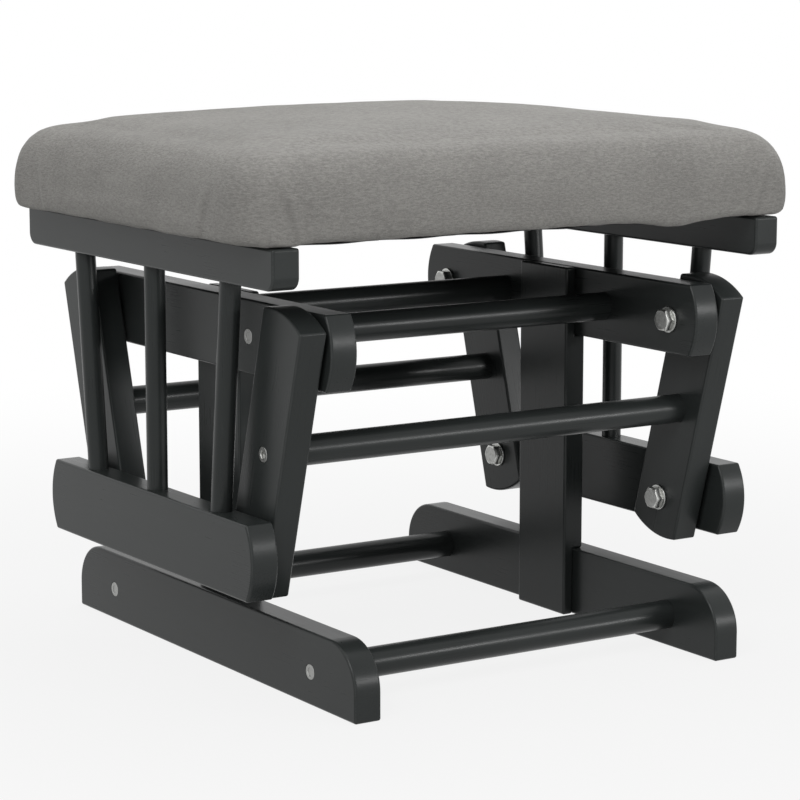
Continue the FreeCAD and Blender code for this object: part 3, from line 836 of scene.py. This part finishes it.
def slumped(place):
    """Hand-made unevenness: waves along the hem, and a soft spot at the front on the right."""
    low = 1 - fade(place.z, COVER_LOW.z + 0.004, COVER_LOW.z + 0.03)
    wave = noise.noise(Vector((place.x * 26, place.y * 26, 3.1)))
    fine = noise.noise(Vector((place.x * 75, place.y * 75, 8.2)))
    drop = (0.0009 * wave + 0.0005 * fine) * low
    if place.y < 0:
        front = fade(-place.y, 0.13, 0.17)
        spot = math.exp(-((place.x - SPOT_X) / SPOT_WIDTH) ** 2)
        near_hem = 1 - fade(place.z, COVER_LOW.z, COVER_LOW.z + 0.016)
        drop -= SPOT_DROP * spot * front * near_hem
    return drop


def hem_floor(place):
    """The lowest that the cover may hang: on the lining, and beyond it on the rail or free."""
    beyond = fade(abs(place.y), LINING_HIGH.y + 0.001, LINING_HIGH.y + 0.006)
    if abs(place.x) < SIDE_IN - RAIL_LAP:
        return COVER_LOW.z - HEM_GIVE - FREE_HANG * beyond
    over_rail = 1 - fade(abs(place.x), SIDE_OUT + 0.001, SIDE_OUT + 0.012)
    down_to_rail = COVER_LOW.z - RAIL_TOP - 2 * HEM_GIVE
    return COVER_LOW.z - HEM_GIVE - down_to_rail * beyond * over_rail


def rests_on_rail(place):
    """1 where the cover lies over a cushion rail, 0 elsewhere."""
    return fade(abs(place.x), SIDE_IN - RAIL_LAP, SIDE_IN)


def dress_cushion(mesh, pad):
    """Adds the folds and the unevenness of a hand-pulled cover."""
    away = mesh.attributes.new("fold_away", "FLOAT", "POINT")
    depth = mesh.attributes.new("fold_depth", "FLOAT", "POINT")
    moves = []
    for vertex in mesh.vertices:
        place, normal = vertex.co, vertex.normal
        distance, strength = fold_at(place)
        upright = fade(1 - abs(normal.z), 0.3, 0.7)
        strength *= upright
        soft = 0.0012 * noise.noise(place * 11) + 0.0004 * noise.noise(place * 34)
        soft *= fade(place.z, COVER_LOW.z + 0.004, COVER_LOW.z + 0.02)
        move = normal * (fold_height(distance) * strength * pad.fold + soft)
        low = 1 - fade(place.z, COVER_LOW.z, COVER_LOW.z + 0.012)
        move.z += slumped(place) + (hem_floor(place) - COVER_LOW.z) * low * rests_on_rail(place)
        moves.append(move)
        away.data[vertex.index].value = max(-0.03, min(0.03, distance))
        depth.data[vertex.index].value = strength
    for vertex, move in zip(mesh.vertices, moves):
        vertex.co += move
    for vertex in mesh.vertices:
        vertex.co.z = max(vertex.co.z, hem_floor(vertex.co))


def lining_mesh(pad):
    """The lining: a sheet with round corners that hangs a little between its staples."""
    half_x, half_y = LINING_HIGH.x, LINING_HIGH.y
    top, bottom = LINING_HIGH.z, LINING_LOW.z
    columns, rows = 92, 72
    bm = bmesh.new()

    def spot(i, j):
        u, v = 2 * i / columns - 1, 2 * j / rows - 1
        x, y = u * half_x, v * half_y
        over_x, over_y = abs(x) - (half_x - pad.corner), abs(y) - (half_y - pad.corner)
        if over_x > 0 and over_y > 0:
            most = max(over_x, over_y)
            span = math.hypot(over_x, over_y)
            x = math.copysign(half_x - pad.corner + over_x * most / span, x)
            y = math.copysign(half_y - pad.corner + over_y * most / span, y)
        return x, y

    def sag(x, y):
        inside = fade(SIDE_IN - RAIL_LAP - abs(x), 0.0, 0.05)
        inside *= fade(half_y - STAPLE_MARGIN - abs(y), 0.0, 0.05)
        ripple = noise.noise(Vector((x * 9, y * 9, 5.5))) * 0.6
        ripple += noise.noise(Vector((x * 30, y * 12, 1.5))) * 0.25
        pucker = 0.5 + 0.5 * math.cos(2 * math.pi * x / PUCKER_PITCH)
        edge = fade(abs(y), half_y - 0.05, half_y - 0.004)
        free = fade(SIDE_IN - 0.003 - abs(x), 0.0, 0.012)
        gather = (1 - pucker) * edge * 0.0009 * free
        return inside * (0.0016 + 0.0009 * ripple) + gather

    layers = []
    for z in (top, bottom):
        grid = []
        for j in range(rows + 1):
            line = []
            for i in range(columns + 1):
                x, y = spot(i, j)
                line.append(bm.verts.new((x, y, z - sag(x, y))))
            grid.append(line)
        layers.append(grid)
        for j in range(rows):
            for i in range(columns):
                bm.faces.new((grid[j][i], grid[j][i + 1], grid[j + 1][i + 1], grid[j + 1][i]))
    rim = [(0, i) for i in range(columns)] + [(j, columns) for j in range(rows)]
    rim += [(rows, i) for i in range(columns, 0, -1)] + [(j, 0) for j in range(rows, 0, -1)]
    for (j, i), (m, n) in zip(rim, rim[1:] + rim[:1]):
        upper, lower = layers
        bm.faces.new((upper[j][i], lower[j][i], lower[m][n], upper[m][n]))
    mesh = closed_mesh("lining", bm)
    smooth(mesh, 60)
    return mesh


def staple_places():
    """Middles and turns of the lining's staples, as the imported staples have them."""
    row_half = SIDE_IN - STAPLE_MARGIN
    line_x = SIDE_OUT + STAPLE_RAIL_GAP
    line_y = LINING_HIGH.y - STAPLE_MARGIN
    places = []
    for k in range(WIDTH_STAPLES):
        x = row_half * (2 * k / (WIDTH_STAPLES - 1) - 1)
        places += [((x, side * line_y, LINING_LOW.z), (0, 0, 0)) for side in (-1, 1)]
    for k in range(DEPTH_STAPLES):
        y = line_y * (2 * (k + 0.5) / DEPTH_STAPLES - 1)
        places += [((side * line_x, y, LINING_LOW.z), (0, 0, math.pi / 2)) for side in (-1, 1)]
    return places


# Operators


def dress(name, material):
    """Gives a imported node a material."""
    for held in frame["nodes"][name].material_slots:
        held.material = material


def place_piece(piece, body, slot, *nodes):
    """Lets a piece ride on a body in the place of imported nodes."""
    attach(piece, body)
    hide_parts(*nodes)


class OTTOMAN_OT_timber(bpy.types.Operator):
    """Paints the rails, posts, links, dowels and spindles, each with grain along its length"""

    bl_idname = "ottoman.timber"
    bl_label = "Painted timber"

    def execute(self, context):
        settings = context.scene.ottoman_timber
        kinds = {
            "rail": ((0, 1, 0), True), "post": ((0, 0, 1), True),
            "front_link": (tuple(LINK_RUN), True), "dowel": ((1, 0, 0), False),
            "rear_link": ((0, -LINK_RUN.y, LINK_RUN.z), True), "spindle": ((0, 0, 1), False),
        }
        painted = {
            kind: paint("painted_" + kind, settings, along, has_edges)
            for kind, (along, has_edges) in kinds.items()
        }
        for name, node in frame["nodes"].items():
            if node.material_slots[0].material.name.split(".")[0] != "painted_timber":
                continue
            sticks = ("dowel", "spindle", "post", "rear_link", "front_link")
            kind = next((stick for stick in sticks if stick in name), "rail")
            dress(name, painted[kind])
        return {"FINISHED"}


class OTTOMAN_OT_inner_pieces(bpy.types.Operator):
    """Gives the bearings, hidden pins, seat board and foam their materials"""

    bl_idname = "ottoman.inner_pieces"
    bl_label = "Bearings and inner pieces"

    def execute(self, context):
        steel = metal(
            "bearing_race_steel", (0.56, 0.56, 0.57), roughness=0.26, depth=0.00001, tarnish=0.1
        )
        balls = metal(
            "bearing_ball_steel", (0.66, 0.66, 0.68), roughness=0.12, depth=0.000002, tarnish=0.0
        )
        for name in frame["nodes"]:
            if name.endswith(("_hubs", "_shells")):
                dress(name, steel)
            if name.endswith("_balls"):
                dress(name, balls)
        dress("post_pins", bare_timber("pin_beech"))
        dress("seat_board", plywood("seat_plywood"))
        dress("seat_foam", foam("seat_padding"))
        return {"FINISHED"}


class OTTOMAN_OT_bolts(bpy.types.Operator):
    """Sets the hex bolts and washers of the pivots"""

    bl_idname = "ottoman.bolts"
    bl_label = "Pivot bolts"

    def execute(self, context):
        fixings = context.scene.ottoman_fixings
        # The flat faces of the bolt heads get painted shade from the metal's face shading.
        plated = metal(
            "bolt_zinc", shade(fixings.zinc, 1.15), roughness=0.3, depth=0.00003,
            tarnish=0.35, painted_face_shade=0.42,
        )
        bright = metal("washer_zinc", fixings.zinc, roughness=0.28, depth=0.00001, tarnish=0.2)
        head_size = (fixings.bolt_height, fixings.bolt_flats, fixings.bolt_flats)
        washer_size = (fixings.washer_thickness, fixings.washer_diameter, fixings.washer_diameter)
        upper, lower = PIVOTS
        rows = (
            ("base", "upper_pivot", RAIL_IN, upper, (-1, 1)),
            ("front_swing", "front_lower", LINK_IN, lower, (-1,)),
            ("rear_swing", "rear_lower", LINK_IN, lower, (1,)),
        )
        for body, start, face, pivot, ends in rows:
            seat = face - fixings.washer_thickness
            for suffix, item, size, finish, x in (
                ("_bolts", bolt_head(), head_size, plated, seat),
                ("_washers", washer(), washer_size, bright, face),
            ):
                places = places_beside(x, abs(pivot.y), pivot.z, ends, outwards=False)
                piece = repeat(
                    start + suffix + "_set", item, places, size, finish, seed=fixings.seed
                )
                place_piece(piece, body, "zinc_bolts", start + suffix)
        return {"FINISHED"}


class OTTOMAN_OT_connector_screws(bpy.types.Operator):
    """Sets the connector screws that hold the dowels"""

    bl_idname = "ottoman.connector_screws"
    bl_label = "Connector screws"

    def execute(self, context):
        fixings = context.scene.ottoman_fixings
        # The flat faces of the screw heads get painted shade from the metal's face shading.
        plated = metal(
            "screw_zinc", shade(fixings.zinc, 0.8), roughness=0.34, depth=0.00002,
            tarnish=0.3, painted_face_shade=0.75,
        )
        size = (fixings.screw_height, fixings.screw_head, fixings.screw_head)
        shallow, deep = 0.82, 0.2
        rows = (
            ("base", "base_screws", "base_dowel_front", RAIL_OUT, (-1, 1), shallow),
            ("base", "glide_screws", "glide_dowel_front", RAIL_OUT, (-1, 1), shallow),
            ("front_swing", "front_link_screws", "front_link_dowel", LINK_OUT, (-1,), deep),
            ("rear_swing", "rear_link_screws", "rear_link_dowel", LINK_OUT, (1,), deep),
        )
        for body, node, dowel, face, ends, floor in rows:
            head = socket_head(0.5, floor)
            low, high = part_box(dowel)
            middle = (low + high) / 2
            x = face - fixings.screw_height
            places = places_beside(x, abs(middle.y), middle.z, ends)
            piece = repeat(node + "_set", head, places, size, plated, 0.5, seed=fixings.seed + 1)
            place_piece(piece, body, "zinc_screws", node)
        return {"FINISHED"}


class OTTOMAN_OT_seat_fixings(bpy.types.Operator):
    """Sets the seat screws and the lining's staples"""

    bl_idname = "ottoman.seat_fixings"
    bl_label = "Seat screws and staples"

    def execute(self, context):
        fixings = context.scene.ottoman_fixings
        plated = metal("seat_screw_zinc", fixings.zinc, roughness=0.34, depth=0.00002, tarnish=0.3)
        wire = metal(
            "staple_steel", (0.42, 0.42, 0.42), roughness=0.34, depth=0.00001, tarnish=0.3
        )
        low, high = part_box("seat_screws")
        head = fixings.seat_screw_head
        height = head * 0.28
        x, y = high.x - head / 2, high.y - head / 2
        down = (0, math.pi / 2, 0)
        places = [
            ((side * x, end * y, low.z + height), down) for side in (-1, 1) for end in (-1, 1)
        ]
        size = (height, head, head)
        head_form = socket_head(0.45)
        piece = repeat("seat_screws_set", head_form, places, size, plated, 0.5, seed=fixings.seed + 2)
        place_piece(piece, "seat", "zinc_screws", "seat_screws")
        size = (fixings.staple_crown - fixings.staple_wire, fixings.staple_wire, fixings.staple_leg)
        half_wire = fixings.staple_wire / 2
        places = [((x, y, z - half_wire), turn) for (x, y, z), turn in staple_places()]
        upright = (0, 0, 1)
        piece = repeat(
            "lining_staples_set", staple(), places, size, wire, 0.035, upright, fixings.seed + 3
        )
        place_piece(piece, "seat", "staple_wire", "lining_staples")
        return {"FINISHED"}


class OTTOMAN_OT_cushion(bpy.types.Operator):
    """Makes the padded cushion and its cover"""

    bl_idname = "ottoman.cushion"
    bl_label = "Cushion"

    def execute(self, context):
        pad = context.scene.ottoman_padding
        cushion = add_object("cushion", padding_form(pad, pad.slack))
        even_mesh(cushion, pad.voxel)
        swollen(cushion, pad)
        fit_to_cover(cushion.data)
        subdivision = cushion.modifiers.new("finer", "SUBSURF")
        subdivision.levels = subdivision.render_levels = 1
        plain_mesh(cushion)
        dress_cushion(cushion.data, pad)
        smooth(cushion.data, 180)
        cushion.data.materials.clear()
        cushion.data.materials.append(brushed_fabric("brushed_cover", tuple(pad.fabric)))
        place_piece(cushion, "seat", "seat_fabric", "seat_cover", "seat_foam")
        return {"FINISHED"}


class OTTOMAN_OT_lining(bpy.types.Operator):
    """Makes the thin lining under the seat"""

    bl_idname = "ottoman.lining"
    bl_label = "Lining"

    def execute(self, context):
        pad = context.scene.ottoman_padding
        lining = add_object("lining", lining_mesh(pad))
        lining.data.materials.append(nonwoven("bonded_lining", tuple(pad.lining)))
        place_piece(lining, "seat", "lining_cloth", "underside_lining")
        return {"FINISHED"}


class OTTOMAN_OT_stage(bpy.types.Operator):
    """Makes the floor, the soft studio light and the camera"""

    bl_idname = "ottoman.stage"
    bl_label = "Stage"

    def execute(self, context):
        scene = context.scene
        stage = scene.ottoman_stage
        reach = 40.0
        mesh = bpy.data.meshes.new("floor")
        mesh.from_pydata(
            [(-reach, -reach, 0), (reach, -reach, 0), (reach, reach, 0), (-reach, reach, 0)],
            [], [(0, 1, 2, 3)],
        )
        floor = add_object("floor", mesh)
        mesh.materials.append(stage_floor("pale_floor", tuple(stage.floor)))
        self.light_surround(scene, stage)
        middle, low_middle = (0, 0, 0.3), (0, 0, 0.2)
        self.add_lamp("key", (-2.2, -1.5, 2.4), middle, 1.8, 1.8, stage.key)
        self.add_lamp("top", (0.5, 0.4, 3.2), middle, 2.2, 2.2, stage.top)
        self.add_lamp("front", (1.6, -2.45, 0.75), low_middle, 0.9, 0.36, stage.front)
        self.add_camera(scene)
        scene.view_settings.view_transform = "Standard"
        return {"FINISHED"}

    def light_surround(self, scene, stage):
        """White to the camera and in reflections, and a plain soft light to the rest."""
        world = bpy.data.worlds.new("surround")
        world.use_nodes = True
        scene.world = world
        tree = world.node_tree
        path = add_node(tree, "ShaderNodeLightPath").outputs
        seen = path["Is Camera Ray"]
        for name in ("Is Glossy Ray", "Is Transmission Ray"):
            most = add_node(
                tree, "ShaderNodeMath", {"operation": "MAXIMUM"}, {0: seen, 1: path[name]}
            )
            seen = most.outputs[0]
        strength = add_node(
            tree, "ShaderNodeMapRange", None,
            {"Value": seen, "To Min": stage.surround, "To Max": 1.0},
        )
        back = tree.nodes["Background"].inputs
        feed(tree, back["Color"], (1, 1, 1, 1))
        feed(tree, back["Strength"], strength.outputs[0])

    def add_lamp(self, name, place, target, width, height, power):
        """A soft lamp that shines from a rectangle towards a point."""
        light = bpy.data.lights.new(name, "AREA")
        light.shape = "RECTANGLE"
        light.size = width
        light.size_y = height
        light.energy = power
        lamp = add_object(name, light)
        lamp.location = place
        lamp.rotation_euler = (Vector(target) - Vector(place)).to_track_quat("-Z", "Y").to_euler()

    def add_camera(self, scene):
        data = bpy.data.cameras.new("camera")
        data.sensor_width = 36.0
        data.lens = CAMERA_LENS
        camera = add_object("camera", data)
        camera.location = CAMERA_PLACE
        aim = CAMERA_TARGET - CAMERA_PLACE
        camera.rotation_euler = aim.to_track_quat("-Z", "Y").to_euler()
        scene.camera = camera


class OTTOMAN_PT_panel(bpy.types.Panel):
    bl_label = "Glider ottoman"
    bl_idname = "OTTOMAN_PT_panel"
    bl_space_type = "VIEW_3D"
    bl_region_type = "UI"
    bl_category = "Ottoman"

    def draw(self, context):
        for group in SETTINGS:
            box = self.layout.box()
            settings = getattr(context.scene, group)
            for name in settings.__annotations__:
                box.prop(settings, name)
        for operator in STEPS:
            self.layout.operator(operator.bl_idname)


SETTINGS = {
    "ottoman_timber": TimberSettings,
    "ottoman_fixings": FixingSettings,
    "ottoman_padding": PaddingSettings,
    "ottoman_stage": StageSettings,
}
STEPS = (
    OTTOMAN_OT_stage,
    OTTOMAN_OT_timber,
    OTTOMAN_OT_inner_pieces,
    OTTOMAN_OT_bolts,
    OTTOMAN_OT_connector_screws,
    OTTOMAN_OT_seat_fixings,
    OTTOMAN_OT_lining,
    OTTOMAN_OT_cushion,
)


def register():
    for kind in (*SETTINGS.values(), *STEPS, OTTOMAN_PT_panel):
        bpy.utils.register_class(kind)
    for name, kind in SETTINGS.items():
        setattr(bpy.types.Scene, name, PointerProperty(type=kind))


def unregister():
    for name in SETTINGS:
        delattr(bpy.types.Scene, name)
    for kind in (OTTOMAN_PT_panel, *reversed(STEPS), *SETTINGS.values()):
        bpy.utils.unregister_class(kind)


def main():
    register()
    for step in STEPS:
        group, name = step.bl_idname.split(".")
        getattr(getattr(bpy.ops, group), name)()


if __name__ == "__main__":
    main()
